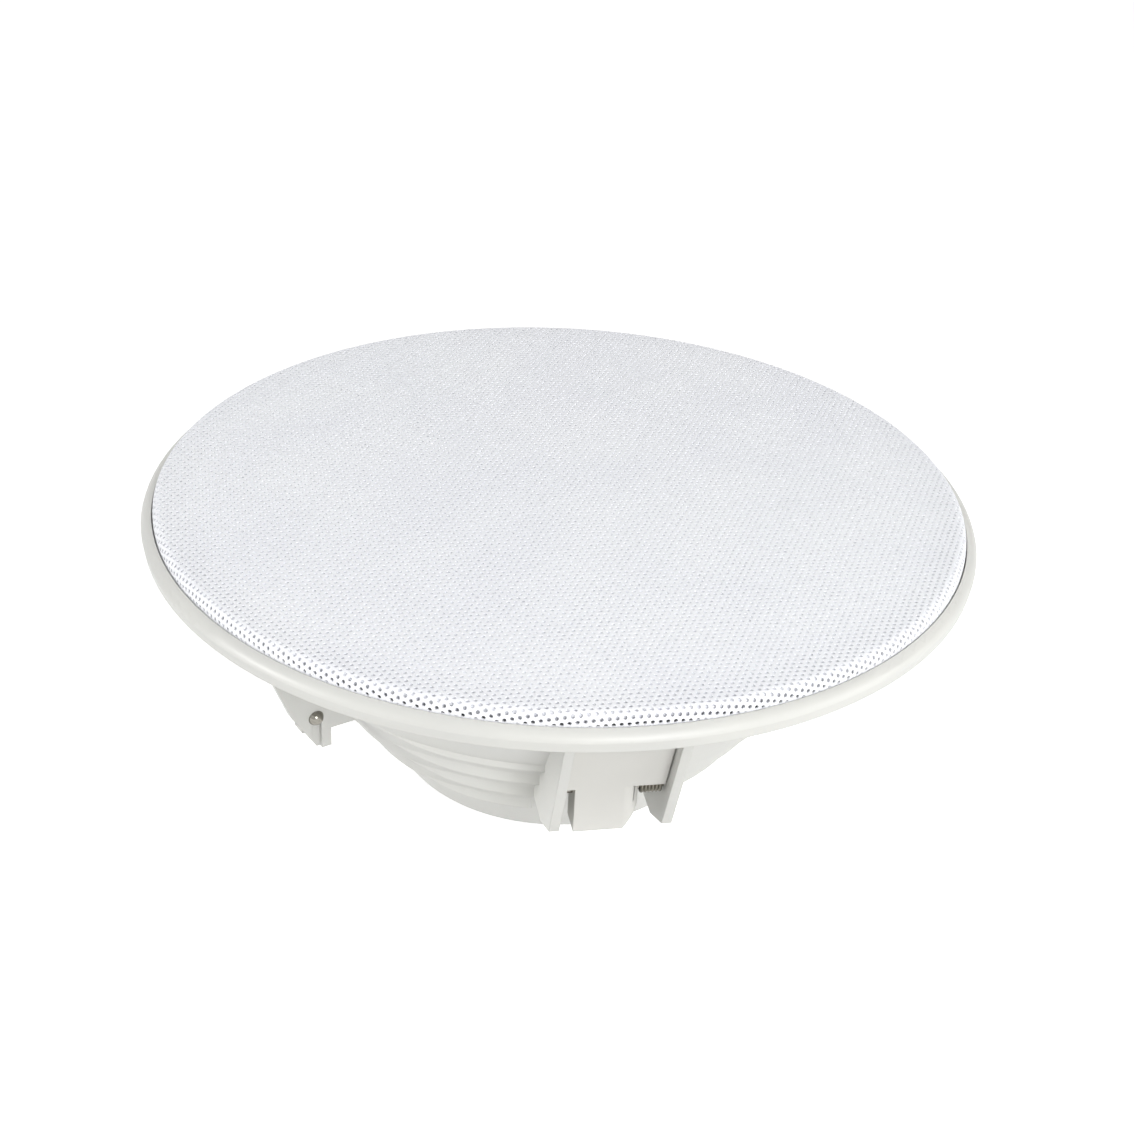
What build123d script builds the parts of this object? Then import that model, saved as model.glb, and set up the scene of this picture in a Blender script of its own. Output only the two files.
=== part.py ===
from build123d import *
import os
from math import hypot, sqrt

# In-ceiling speaker, in millimetres. The grille faces up (+Z).
# The origin is the centre of the flange's back face, which lies on the ceiling board.

# Bezel and ceiling flange
FLANGE_R = 125.0
FLANGE_T = 2.5
LIP_T = 3.2
LIP_H = 3.1
BEZEL_CROWN = 0.7
BEZEL_SIDE_H = 2.8
BEZEL_TUCK = 0.4

# Grille and its cloth
GRILLE_GAP = 0.4
GRILLE_SHEET = 0.8
GRILLE_H = 6.6
GRILLE_ROLL = 2.8
GRILLE_DOME = 1.5
CLOTH_T = 0.4
CLOTH_GAP = 0.05

# Conical wall with stepped ridges and a flat back
CEILING_SEAT_W = 16.1
CONE_BASE_R = 47.8
CONE_DEPTH = 84.1
WALL = 3.6
FLOOR_T = 3.0
BASE_ROUND = 2.5
RIDGES = 4
RIDGE_TOP_DEPTH = 36.4
RIDGE_PITCH = 9.87
RIDGE_STEP = 2.2
RIDGE_DROP = 0.5

# Clamp brackets: a narrow pair and a wide pair, each opposite its like
CLAMP_AXIS = 247.8
CLAMP_HALF_ANGLE = 33.6
FIN_T = 2.8
FIN_ROOT = 3.1
FIN_KEY = 1.0

# Wide bracket: two plain fins whose lower edge runs down to the wall
FIN_SPAN = 34.4
FIN_INSET = 11.5
FIN_DEPTH = 48.0
FIN_HEEL_W = 11.7
FIN_HEEL_DROP = 6.5

# Narrow bracket: two fins with a bent edge and a notch, the hidden one set back
NARROW_SPAN = 18.0
NARROW_INSET = 13.0
NARROW_BEND_OUT = 7.5
NARROW_BEND_RISE = 2.2
NARROW_TOE_SETBACK = 0.6
NARROW_TOE_W = 4.0
NARROW_TOE_H = 6.0
NARROW_TOE_DROP = 10.9
NARROW_BACK = 3.0

# Clamp pivot pin
PIN_STANDOFF = 8.464
PIN_SETBACK = 2.7
PIN_RISE = 12.4
PIN_D = 2.6
PIN_FIT = 0.05
PIN_HEAD_D = 4.7
PIN_HEAD_H = 1.8
PIN_SEAT = 1.8
PIN_END_GAP = 0.1
PIN_GROOVE_W = 3.2
PIN_GROOVE_DEPTH = 1.4

# Clamp lever: a slanted arm over a hollow block
LEVER_FACE = 4.5
LEVER_SIDE_GAP = 0.4
LEVER_STEP = 3.1
LEVER_CREASE_RISE = 2.7
LEVER_BELOW_PIN = 11.5
LEVER_ARM_T = 3.2
LEVER_ARM_TOP = 10.6
LEVER_HUB_R = 4.0
LEVER_WALL = 2.2
LEVER_CORNER = 5.0
LEVER_CUT_W = 4.6
LEVER_CUT_H = 6.1
LEVER_TIP_ROUND = 1.2
LEVER_SHIELD_T = 1.4
LEVER_SHIELD_H = 6.0
LEVER_SHIELD_LAP = 2.0
NARROW_LEVER_FACE = 2.0
NARROW_LEVER_LEAN = 0.525

# Clamp spring: a close coil on the pin with two legs
SPRING_WIRE = 1.0
SPRING_TURNS = 6
SPRING_BORE_GAP = 0.3
SPRING_SIDE_GAP = 0.25
SPRING_LEG = 7.0
SPRING_FOOT_GAP = 0.3
SPRING_BACK_GAP = 0.6
SPRING_LEG_SLIM = 0.05
SPRING_GROOVE = 0.35
SPRING_HOOK = 5.0

# Baffle ring, its bosses and screws
BAFFLE_DROP = 2.0
BAFFLE_T = 4.0
BAFFLE_GAP = 0.6
BAFFLE_SCREWS = 6
BAFFLE_SCREW_INSET = 7.3
BOSS_R = 4.0
BOSS_H = 18.0
SCREW_D = 3.0
SCREW_HEAD_D = 6.0
SCREW_HEAD_H = 1.6
SCREW_FIT = 0.05
SCREW_HOLE_GAP = 0.3
BAFFLE_SCREW_L = 12.0

# Woofer
WOOFER_INSET = 17.84
WOOFER_RIM_W = 11.5
WOOFER_SHEET = 1.2
WOOFER_SIDE_T = 1.7
WOOFER_SHELF_R = 47.0
WOOFER_DRUM_R = 40.0
WOOFER_SHELF_DEPTH = 34.0
WOOFER_BACK_DEPTH = 43.2
WOOFER_WINDOWS = 6
WOOFER_WINDOW_TURN = 30
WOOFER_WINDOW_W = 30.0
WOOFER_WINDOW_MARGIN = 3.5
WOOFER_SCREWS = 4
WOOFER_SCREW_TURN = 45
WOOFER_SCREW_INSET = 3.0
WOOFER_SCREW_L = 10.0
CUTOUT_GAP = 1.0

# Woofer cone, surround and dust cap
CONE_EDGE_INSET = 11.0
CONE_RIM_W = 3.0
CONE_SHEET = 0.6
CONE_NECK_DEPTH = 27.0
SURROUND_T = 0.5
SURROUND_LIP_W = 5.0
SURROUND_ROLL_R = 4.8
EDGE_GAP = 0.3
GASKET_LAP = 0.2
GASKET_T = 2.0
DUST_CAP_SEAT_RATIO = 0.9
DUST_CAP_EDGE_RATIO = 0.02
DUST_CAP_H = 5.0
GLUE = 0.05

# Woofer motor
COIL_BORE_R = 12.7
FORMER_T = 0.3
FORMER_DEPTH = 52.0
COIL_T = 0.4
COIL_H = 9.0
POLE_GAP = 0.4
PLATE_GAP = 0.5
FRONT_PLATE_R = 44.0
FRONT_PLATE_T = 5.0
MAGNET_R = 45.0
MAGNET_BORE_R = 22.0
MAGNET_T = 15.0
BACK_PLATE_R = 43.0
BACK_PLATE_T = 5.0
SPIDER_T = 0.6
SPIDER_WAVE = 1.2
SPIDER_WAVES = 5
SPIDER_GAP = 0.3

# Tweeter on a bridge over the woofer
BRIDGE_W = 14.0
BRIDGE_T = 2.0
BRIDGE_RISE = 5.4
BRIDGE_FOOT = 5.0
BRIDGE_RING_R = 19.0
TWEETER_R = 13.0
TWEETER_H = 13.0
TWEETER_FLANGE_R = 16.5
TWEETER_FLANGE_T = 1.2
TWEETER_WALL = 1.5
TWEETER_FIT = 0.1
TWEETER_DOME_R = 9.5
TWEETER_DOME_H = 3.0
TWEETER_DOME_T = 0.3
TWEETER_DOME_DROP = 3.4
TWEETER_MAGNET_R = 9.0
TWEETER_MAGNET_T = 5.0

# Crossover on posts above the back
BOARD_L = 58.0
BOARD_W = 38.0
BOARD_T = 1.6
POST_H = 3.0
POST_R = 3.0
POST_INSET = 5.0
PEG_R = 1.2
PEG_FIT = 0.1
PEG_PROUD = 0.8
INDUCTOR_R = 11.0
INDUCTOR_BORE_R = 4.5
INDUCTOR_H = 5.6
INDUCTOR_X = 13.0
CAPACITOR_L = 18.0
CAPACITOR_W = 8.0
CAPACITOR_H = 5.4
CAPACITOR_X = 13.0
CAPACITOR_Y = 8.0
RESISTOR_R = 2.4
RESISTOR_L = 15.0
RESISTOR_Y = 9.0

# Terminal block on a pad of the conical wall
TERMINAL_AZIMUTH = 67.8
PAD_TOP_DEPTH = 44.0
PAD_H = 18.0
PAD_W = 30.0
PAD_PROUD = 2.0
PAD_WALL = 3.0
BLOCK_L = 22.0
BLOCK_H = 12.0
BLOCK_T = 10.0
WIRE_WAYS = 2
WIRE_PITCH = 8.0
WIRE_HOLE_R = 1.9
TERMINAL_SCREW_D = 3.4
TERMINAL_SCREW_H = 5.0
DRIVE_SLOT_W = 0.8
DRIVE_SLOT_DEPTH = 1.0

# Worked-out places
LIP_R = FLANGE_R - LIP_T
LIP_TOP = FLANGE_T + LIP_H
GRILLE_R = LIP_R - GRILLE_GAP
GRILLE_TOP = FLANGE_T + GRILLE_H
CONE_TOP_R = FLANGE_R - CEILING_SEAT_W
CONE_SLOPE = (CONE_TOP_R - CONE_BASE_R) / CONE_DEPTH
FLOOR_Z = FLOOR_T - CONE_DEPTH
BAFFLE_TOP = -BAFFLE_DROP
BAFFLE_Z = BAFFLE_TOP - BAFFLE_T
WOOFER_TOP = BAFFLE_TOP + WOOFER_SHEET
PLATE_Z = -WOOFER_BACK_DEPTH - WOOFER_SHEET
MAGNET_Z = PLATE_Z - FRONT_PLATE_T
YOKE_Z = MAGNET_Z - MAGNET_T
FORMER_R = COIL_BORE_R + FORMER_T
BRIDGE_Z = WOOFER_TOP + BRIDGE_RISE
BOARD_Z = FLOOR_Z + POST_H
PIN_DEPTH = FIN_DEPTH - PIN_RISE
PIN_R = CONE_TOP_R - CONE_SLOPE * PIN_DEPTH + PIN_STANDOFF
FIN_TOP_R = FLANGE_R - FIN_INSET
FIN_TIP_R = PIN_R + PIN_SETBACK
LEVER_LEAN = (FIN_TOP_R - FIN_TIP_R) / FIN_DEPTH
CREASE_Z = LEVER_CREASE_RISE - PIN_DEPTH
FIN_RIGHT = FIN_SPAN / 2
WIDE_LEFT = -FIN_RIGHT
NARROW_LEFT = FIN_RIGHT - NARROW_SPAN
LEVER_END = FIN_RIGHT - FIN_T - LEVER_SIDE_GAP
SPRING_L = SPRING_TURNS * SPRING_WIRE
LEVER_RIGHT = LEVER_END - SPRING_L - 2 * SPRING_SIDE_GAP

# Azimuth and left side of each clamp
CLAMPS = [
    (CLAMP_AXIS - CLAMP_HALF_ANGLE, NARROW_LEFT),
    (CLAMP_AXIS + CLAMP_HALF_ANGLE, WIDE_LEFT),
    (CLAMP_AXIS - CLAMP_HALF_ANGLE + 180, NARROW_LEFT),
    (CLAMP_AXIS + CLAMP_HALF_ANGLE + 180, WIDE_LEFT),
]


def cone_r(z):
    """Outer radius of the conical wall at a height."""
    return CONE_TOP_R + CONE_SLOPE * z


def inner_r(z):
    """Inner radius of the conical wall at a height."""
    return cone_r(z) - WALL


BAFFLE_R = inner_r(BAFFLE_Z) - BAFFLE_GAP
BAFFLE_SCREW_R = BAFFLE_R - BAFFLE_SCREW_INSET
WOOFER_R = BAFFLE_R - WOOFER_INSET
WOOFER_MOUTH_R = WOOFER_R - WOOFER_RIM_W
SURROUND_LIP_R = WOOFER_MOUTH_R + SURROUND_LIP_W
GASKET_R = WOOFER_MOUTH_R - GASKET_LAP
CONE_EDGE_R = WOOFER_MOUTH_R - CONE_EDGE_INSET
PAD_FACE = cone_r(-PAD_TOP_DEPTH) + PAD_PROUD
PAD_MID_Z = -PAD_TOP_DEPTH - PAD_H / 2


def turned(outline):
    """Solid of revolution about Z from a closed outline: curves in order, or (radius, height) corners."""
    if isinstance(outline[0], tuple):
        outline = [Polyline(*outline, close=True)]
    face = make_face([edge for curve in outline for edge in curve.edges()]).face()
    if face.normal_at().Z < 0:
        face = -face
    return revolve(Plane.XZ * face, Axis.Z)


def dome(r, z, rise):
    """Arc of a dome centred on the axis, from its edge to its top."""
    ball_r = (r * r + rise * rise) / (2 * rise)
    middle_z = z + rise - ball_r + sqrt(ball_r * ball_r - r * r / 4)
    return ThreePointArc((r, z), (r / 2, middle_z), (0, z + rise))


def ring(r_in, r_out, z0, z1):
    """Flat ring between two heights."""
    return turned([(r_in, z0), (r_out, z0), (r_out, z1), (r_in, z1)])


def disc(r, z0, z1):
    """Round plate between two heights."""
    return Pos(0, 0, z0) * Cylinder(r, z1 - z0, align=(Align.CENTER, Align.CENTER, Align.MIN))


def cone_shell(r_top, z_top, r_low, z_low, thickness):
    """Conical shell, its thickness measured outwards along the radius."""
    outline = [(r_top, z_top), (r_top + thickness, z_top), (r_low + thickness, z_low), (r_low, z_low)]
    return turned(outline)


def plate(outline, y0, y1):
    """Plate with a (radius, height) outline, from y0 to y1 across."""
    face = Plane.XZ * make_face(Polyline(*outline, close=True).edges())
    return Pos(0, y1, 0) * extrude(face, y1 - y0)


def block(x0, x1, y0, y1, z0, z1):
    """Box between pairs of limits."""
    middle = Pos((x0 + x1) / 2, (y0 + y1) / 2, (z0 + z1) / 2)
    return middle * Box(x1 - x0, y1 - y0, z1 - z0)


def crosswise(r, y0, y1, x, z):
    """Cylinder along Y at a radius x and a height z."""
    solid = Cylinder(r, y1 - y0, align=(Align.CENTER, Align.CENTER, Align.MIN))
    return Pos(x, y0, z) * Rot(-90, 0, 0) * solid


def rod(r, *points):
    """Round rod through the points, with mitred bends."""
    path = Polyline(*points)
    return sweep(Plane(path @ 0, z_dir=path % 0) * Circle(r), path, transition=Transition.RIGHT)


def turn(azimuth, solid):
    """Turns a piece made on the +X side to its azimuth."""
    return Rot(0, 0, azimuth) * solid


def around(count, first=0.0):
    """Azimuths of evenly spaced copies."""
    return [first + 360 / count * i for i in range(count)]


def group(solids):
    """Separate solids kept together in one piece."""
    return Compound(children=solids)


# Housing


def bezel_edges():
    """Rounded front and side of the bezel, from the lip to the back of the flange."""
    lip = (LIP_R, LIP_TOP)
    side = (FLANGE_R, BEZEL_SIDE_H)
    chord = hypot(side[0] - lip[0], side[1] - lip[1])
    out = (BEZEL_CROWN * (lip[1] - side[1]) / chord, BEZEL_CROWN * (side[0] - lip[0]) / chord)
    crown = ((lip[0] + side[0]) / 2 + out[0], (lip[1] + side[1]) / 2 + out[1])
    back = (FLANGE_R - BEZEL_TUCK, 0)
    return [ThreePointArc(lip, crown, side), Line(side, back)], back


def ridge_points():
    """Steps of the conical wall: each terrace juts out and drops in at its foot."""
    points = []
    for i in range(RIDGES):
        z = -(RIDGE_TOP_DEPTH + i * RIDGE_PITCH)
        points.append((cone_r(z) + RIDGE_STEP / 2, z))
        points.append((cone_r(z) - RIDGE_STEP / 2, z - RIDGE_DROP))
    return points


def housing_wall():
    """Flange, lip, conical wall and flat back as one turned shell."""
    edges, back = bezel_edges()
    round_top = -CONE_DEPTH + BASE_ROUND
    corner = (CONE_BASE_R, -CONE_DEPTH)
    above = (cone_r(round_top), round_top)
    inside = (CONE_BASE_R - BASE_ROUND, -CONE_DEPTH)
    middle = tuple((a + 2 * c + b) / 4 for a, c, b in zip(above, corner, inside))
    edges.append(Polyline(back, (CONE_TOP_R, 0), *ridge_points(), above))
    edges.append(ThreePointArc(above, middle, inside))
    edges.append(Polyline(
        inside,
        (0, -CONE_DEPTH),
        (0, FLOOR_Z),
        (inner_r(FLOOR_Z), FLOOR_Z),
        (inner_r(FLANGE_T), FLANGE_T),
        (LIP_R, FLANGE_T),
        (LIP_R, LIP_TOP),
    ))
    return turned(edges)


def cavity():
    """The space inside the conical wall."""
    return turned([(0, FLOOR_Z), (inner_r(FLOOR_Z), FLOOR_Z), (inner_r(FLANGE_T), FLANGE_T), (0, FLANGE_T)])


def wide_fin():
    """Outline of a fin of a wide bracket."""
    heel_z = -FIN_DEPTH - FIN_HEEL_DROP
    return [
        (FIN_TOP_R, 0),
        (FIN_TIP_R, -FIN_DEPTH),
        (cone_r(heel_z) + FIN_HEEL_W, heel_z),
        (cone_r(heel_z) - FIN_ROOT, heel_z),
        (CONE_TOP_R - FIN_ROOT, 0),
        (CONE_TOP_R - FIN_ROOT, FIN_KEY),
        (FIN_TOP_R, FIN_KEY),
    ]


def narrow_fin(back):
    """Outline of a fin of a narrow bracket, its outer edge set back."""
    top_r = FLANGE_R - NARROW_INSET - back
    toe_r = PIN_R - NARROW_TOE_SETBACK - back
    toe_z = -PIN_DEPTH - NARROW_TOE_DROP
    notch_r = toe_r - NARROW_TOE_W
    notch_z = toe_z + NARROW_TOE_H
    return [
        (top_r, 0),
        (PIN_R + NARROW_BEND_OUT - back, NARROW_BEND_RISE - PIN_DEPTH),
        (toe_r, toe_z),
        (notch_r, toe_z),
        (notch_r, notch_z),
        (cone_r(notch_z) - FIN_ROOT, notch_z),
        (CONE_TOP_R - FIN_ROOT, 0),
        (CONE_TOP_R - FIN_ROOT, FIN_KEY),
        (top_r, FIN_KEY),
    ]


def fin_pair(left):
    """Two fins of a clamp bracket: the pin ends blind in the left one, and a groove runs below its head."""
    near, far = (wide_fin(), wide_fin()) if left == WIDE_LEFT else (narrow_fin(0), narrow_fin(NARROW_BACK))
    fins = plate(near, FIN_RIGHT - FIN_T, FIN_RIGHT) + plate(far, left, left + FIN_T)
    fins -= crosswise(PIN_D / 2 + PIN_FIT, left + FIN_T - PIN_SEAT, FIN_RIGHT, PIN_R, -PIN_DEPTH)
    groove_r = PIN_GROOVE_W / 2
    return fins - block(
        PIN_R - groove_r,
        PIN_R + groove_r,
        FIN_RIGHT - PIN_GROOVE_DEPTH,
        FIN_RIGHT,
        -FIN_DEPTH - FIN_HEEL_DROP,
        -PIN_DEPTH,
    )


def baffle_bosses():
    """Screw bosses under the baffle, grown out of the conical wall."""
    boss = Pos(BAFFLE_SCREW_R, 0, 0) * disc(BOSS_R, BAFFLE_Z - BOSS_H, BAFFLE_Z)
    low_r = CONE_BASE_R - WALL / 2
    high_r = CONE_TOP_R - WALL / 2
    inside_wall = turned([(0, -CONE_DEPTH), (low_r, -CONE_DEPTH), (high_r, 0), (0, 0)])
    kept = boss & inside_wall
    pilot_r = SCREW_D / 2 + SCREW_FIT
    pilot = Pos(BAFFLE_SCREW_R, 0, 0) * disc(pilot_r, BAFFLE_TOP - BAFFLE_SCREW_L, BAFFLE_Z)
    return kept - pilot, pilot


def board_posts():
    """Posts with pegs that the crossover board is staked on."""
    posts = []
    for x in (BOARD_L / 2 - POST_INSET, POST_INSET - BOARD_L / 2):
        for y in (BOARD_W / 2 - POST_INSET, POST_INSET - BOARD_W / 2):
            post = disc(POST_R, FLOOR_Z, BOARD_Z) + disc(PEG_R, FLOOR_Z, BOARD_Z + BOARD_T + PEG_PROUD)
            posts.append(Pos(x, y, 0) * post)
    return posts


def terminal_pad():
    """Hollow bump with a flat face for the terminal block, and the space inside it."""
    half = PAD_W / 2
    bottom = -PAD_TOP_DEPTH - PAD_H
    outer = block(inner_r(bottom), PAD_FACE, -half, half, bottom, -PAD_TOP_DEPTH)
    inner = block(
        inner_r(bottom) - WALL,
        PAD_FACE - PAD_WALL,
        PAD_WALL - half,
        half - PAD_WALL,
        bottom + PAD_WALL,
        -PAD_TOP_DEPTH - PAD_WALL,
    )
    return outer, inner + wire_holes(PAD_FACE - PAD_WALL * 1.5, PAD_FACE + PAD_WALL)


def wire_holes(x0, x1):
    """Ways for the wires through the pad and the block."""
    holes = []
    for i in range(WIRE_WAYS):
        y = (i - (WIRE_WAYS - 1) / 2) * WIRE_PITCH
        hole = Pos(x0, y, PAD_MID_Z) * Rot(0, 90, 0)
        holes.append(hole * Cylinder(WIRE_HOLE_R, x1 - x0, align=(Align.CENTER, Align.CENTER, Align.MIN)))
    return Part() + holes


def make_housing():
    """The one-piece moulding: bezel, conical wall, back, fins, bosses, posts and pad."""
    outer, inner = terminal_pad()
    space = cavity()
    body = housing_wall()
    body += turn(TERMINAL_AZIMUTH, outer - turn(-TERMINAL_AZIMUTH, space))
    body -= turn(TERMINAL_AZIMUTH, inner)
    for azimuth, left in CLAMPS:
        body += turn(azimuth, fin_pair(left))
    boss, pilot = baffle_bosses()
    for azimuth in around(BAFFLE_SCREWS):
        body += turn(azimuth, boss)
        body -= turn(azimuth, pilot)
    for post in board_posts():
        body += post
    return body


# Grille


def make_grille():
    """Pressed disc with a rolled edge and a short skirt that stands on the flange."""
    t = GRILLE_SHEET
    flat_r = GRILLE_R - GRILLE_ROLL
    roll_z = GRILLE_TOP - GRILLE_ROLL
    bend = GRILLE_ROLL * 0.7071
    outer_mid = (flat_r + bend, roll_z + bend)
    inner_roll = GRILLE_ROLL - t
    inner_bend = inner_roll * 0.7071
    inner_mid = (flat_r + inner_bend, roll_z + inner_bend)
    edges = [
        Line((GRILLE_R, FLANGE_T), (GRILLE_R, roll_z)),
        ThreePointArc((GRILLE_R, roll_z), outer_mid, (flat_r, GRILLE_TOP)),
        dome(flat_r, GRILLE_TOP, GRILLE_DOME),
        Line((0, GRILLE_TOP + GRILLE_DOME), (0, GRILLE_TOP + GRILLE_DOME - t)),
        dome(flat_r, GRILLE_TOP - t, GRILLE_DOME),
        ThreePointArc((flat_r, GRILLE_TOP - t), inner_mid, (GRILLE_R - t, roll_z)),
        Line((GRILLE_R - t, roll_z), (GRILLE_R - t, FLANGE_T)),
        Line((GRILLE_R - t, FLANGE_T), (GRILLE_R, FLANGE_T)),
    ]
    return turned(edges)


def make_grille_cloth():
    """Backing cloth glued under the dome of the grille."""
    r = GRILLE_R - GRILLE_ROLL
    top = GRILLE_TOP - GRILLE_SHEET - CLOTH_GAP
    edges = [
        dome(r, top, GRILLE_DOME),
        Line((0, top + GRILLE_DOME), (0, top + GRILLE_DOME - CLOTH_T)),
        dome(r, top - CLOTH_T, GRILLE_DOME),
        Line((r, top - CLOTH_T), (r, top)),
    ]
    return turned(edges)


# Ceiling clamps


def arm_face(left, z):
    """Radius of the face of a lever's arm at a height."""
    if left == WIDE_LEFT:
        return PIN_R + LEVER_FACE + LEVER_LEAN * (z - CREASE_Z)
    return PIN_R + NARROW_LEVER_FACE + NARROW_LEVER_LEAN * (z - CREASE_Z)


def make_arm(left):
    """Slanted arm of a lever; the wide one also covers the spring."""
    low = arm_face(left, CREASE_Z)
    high = arm_face(left, -LEVER_ARM_TOP)
    outline = [
        (low, CREASE_Z),
        (high, -LEVER_ARM_TOP),
        (high - LEVER_ARM_T, -LEVER_ARM_TOP),
        (low - LEVER_ARM_T, CREASE_Z),
    ]
    right = LEVER_END if left == WIDE_LEFT else LEVER_RIGHT
    arm = plate(outline, left + FIN_T + LEVER_SIDE_GAP, right)
    return fillet(arm.edges().filter_by(Axis.Y).group_by(Axis.Z)[-1], LEVER_TIP_ROUND)


def make_clamp_lever(left):
    """Rocking lever: the arm slants out towards the flange, the hollow block hangs below the pin."""
    wide = left == WIDE_LEFT
    arm_left = left + FIN_T + LEVER_SIDE_GAP
    block_left = arm_left + LEVER_STEP if wide else arm_left
    face = PIN_R + LEVER_FACE if wide else PIN_R
    back = PIN_R - LEVER_HUB_R
    bottom = -PIN_DEPTH - LEVER_BELOW_PIN
    base = block(back, face, block_left, LEVER_RIGHT, bottom, CREASE_Z)
    base -= block(
        back,
        face - LEVER_WALL,
        block_left + LEVER_WALL,
        LEVER_RIGHT - LEVER_WALL,
        bottom + LEVER_WALL,
        -PIN_DEPTH - LEVER_HUB_R,
    )
    base += crosswise(LEVER_HUB_R, block_left, LEVER_RIGHT, PIN_R, -PIN_DEPTH)
    if wide:
        base = wide_block_shape(base, back, face, bottom)
    return base + make_arm(left) - crosswise(PIN_D / 2 + PIN_FIT, block_left, LEVER_RIGHT, PIN_R, -PIN_DEPTH)


def wide_block_shape(base, back, face, bottom):
    """Rounded right side, cut low corner and the shield in front of the spring."""
    side = block(back, face, LEVER_RIGHT - 2 * LEVER_CORNER, LEVER_RIGHT, bottom, CREASE_Z)
    corner = side.edges().filter_by(Axis.Z).sort_by(Axis.X)[-2:].sort_by(Axis.Y)[-1]
    base -= side - fillet(corner, LEVER_CORNER)
    cut = Polyline(
        (LEVER_RIGHT - LEVER_CUT_W, bottom),
        (LEVER_RIGHT, bottom),
        (LEVER_RIGHT, bottom + LEVER_CUT_H),
        close=True,
    )
    base -= Pos(back, 0, 0) * extrude(Plane.YZ * make_face(cut.edges()), face - back)
    shield_y = LEVER_RIGHT - LEVER_SHIELD_LAP
    return base + block(face - LEVER_SHIELD_T, face, shield_y, LEVER_END, CREASE_Z - LEVER_SHIELD_H, CREASE_Z)


def make_clamp_pin(left):
    """Steel pivot pin with a domed head on the outer face of the right fin."""
    end = left + FIN_T - PIN_SEAT + PIN_END_GAP
    shank = crosswise(PIN_D / 2, end, FIN_RIGHT, PIN_R, -PIN_DEPTH)
    head_r = PIN_HEAD_D / 2
    head = turned([Line((0, 0), (head_r, 0)), dome(head_r, 0, PIN_HEAD_H), Line((0, PIN_HEAD_H), (0, 0))])
    return shank + Pos(PIN_R, FIN_RIGHT, -PIN_DEPTH) * Rot(-90, 0, 0) * head


def make_clamp_spring(left):
    """Close-wound coil on the pin, one leg in to the conical wall and one hooked behind the arm."""
    wire_r = SPRING_WIRE / 2
    coil_r = PIN_D / 2 + SPRING_BORE_GAP + wire_r
    y0 = LEVER_RIGHT + SPRING_SIDE_GAP
    outline = []
    for i in range(SPRING_TURNS):
        y = i * SPRING_WIRE
        outline.append((coil_r + wire_r - SPRING_GROOVE, y))
        outline.append((coil_r + wire_r, y + SPRING_GROOVE))
        outline.append((coil_r + wire_r, y + SPRING_WIRE - SPRING_GROOVE))
    outline.append((coil_r + wire_r - SPRING_GROOVE, SPRING_L))
    outline.append((coil_r - wire_r, SPRING_L))
    outline.append((coil_r - wire_r, 0))
    coil = Pos(PIN_R, y0, -PIN_DEPTH) * Rot(-90, 0, 0) * turned(outline)
    leg_r = wire_r - SPRING_LEG_SLIM
    low_y = y0 + SPRING_L - wire_r
    low_z = -PIN_DEPTH - coil_r
    foot = hypot(cone_r(low_z), low_y) + SPRING_FOOT_GAP
    low_leg = rod(leg_r, (PIN_R, low_y, low_z), (foot, low_y, low_z))
    high_y = y0 + wire_r
    high_z = coil_r - PIN_DEPTH
    bend_z = high_z + SPRING_LEG
    bend_r = arm_face(left, bend_z) - LEVER_ARM_T - SPRING_BACK_GAP - wire_r
    hook_y = high_y - SPRING_HOOK
    high_leg = rod(leg_r, (PIN_R, high_y, high_z), (bend_r, high_y, bend_z), (bend_r, hook_y, bend_z))
    return coil + low_leg + high_leg


# Baffle and screws


def screw(r, azimuth, z, length):
    """Pan-head screw, its head standing on a face at height z."""
    shank = disc(SCREW_D / 2, z - length, z)
    head = fillet(disc(SCREW_HEAD_D / 2, z, z + SCREW_HEAD_H).edges().group_by(Axis.Z)[-1], SCREW_HEAD_H / 2)
    return turn(azimuth, Pos(r, 0, 0) * (shank + head))


def screw_hole(r, azimuth, z0, z1, gap=SCREW_HOLE_GAP):
    """Clearance hole for a screw."""
    return turn(azimuth, Pos(r, 0, 0) * disc(SCREW_D / 2 + gap, z0, z1))


WOOFER_SCREW_R = WOOFER_R - WOOFER_SCREW_INSET
WOOFER_SCREW_AZIMUTHS = around(WOOFER_SCREWS, WOOFER_SCREW_TURN)
BRIDGE_AZIMUTHS = around(2)


def make_baffle_ring():
    """Ring that carries the woofer, screwed to the bosses of the housing."""
    body = ring(WOOFER_MOUTH_R + WOOFER_SIDE_T + CUTOUT_GAP, BAFFLE_R, BAFFLE_Z, BAFFLE_TOP)
    for azimuth in around(BAFFLE_SCREWS):
        body -= screw_hole(BAFFLE_SCREW_R, azimuth, BAFFLE_Z, BAFFLE_TOP)
    for azimuth in WOOFER_SCREW_AZIMUTHS + BRIDGE_AZIMUTHS:
        body -= screw_hole(WOOFER_SCREW_R, azimuth, BAFFLE_Z, BAFFLE_TOP, SCREW_FIT)
    return body


def make_baffle_screws():
    return group([screw(BAFFLE_SCREW_R, a, BAFFLE_TOP, BAFFLE_SCREW_L) for a in around(BAFFLE_SCREWS)])


def make_woofer_screws():
    length = WOOFER_TOP - BAFFLE_Z
    return group([screw(WOOFER_SCREW_R, a, WOOFER_TOP, length) for a in WOOFER_SCREW_AZIMUTHS])


def make_bridge_screws():
    top = BRIDGE_Z + BRIDGE_T
    return group([screw(WOOFER_SCREW_R, a, top, top - BAFFLE_Z) for a in BRIDGE_AZIMUTHS])


# Woofer


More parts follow.
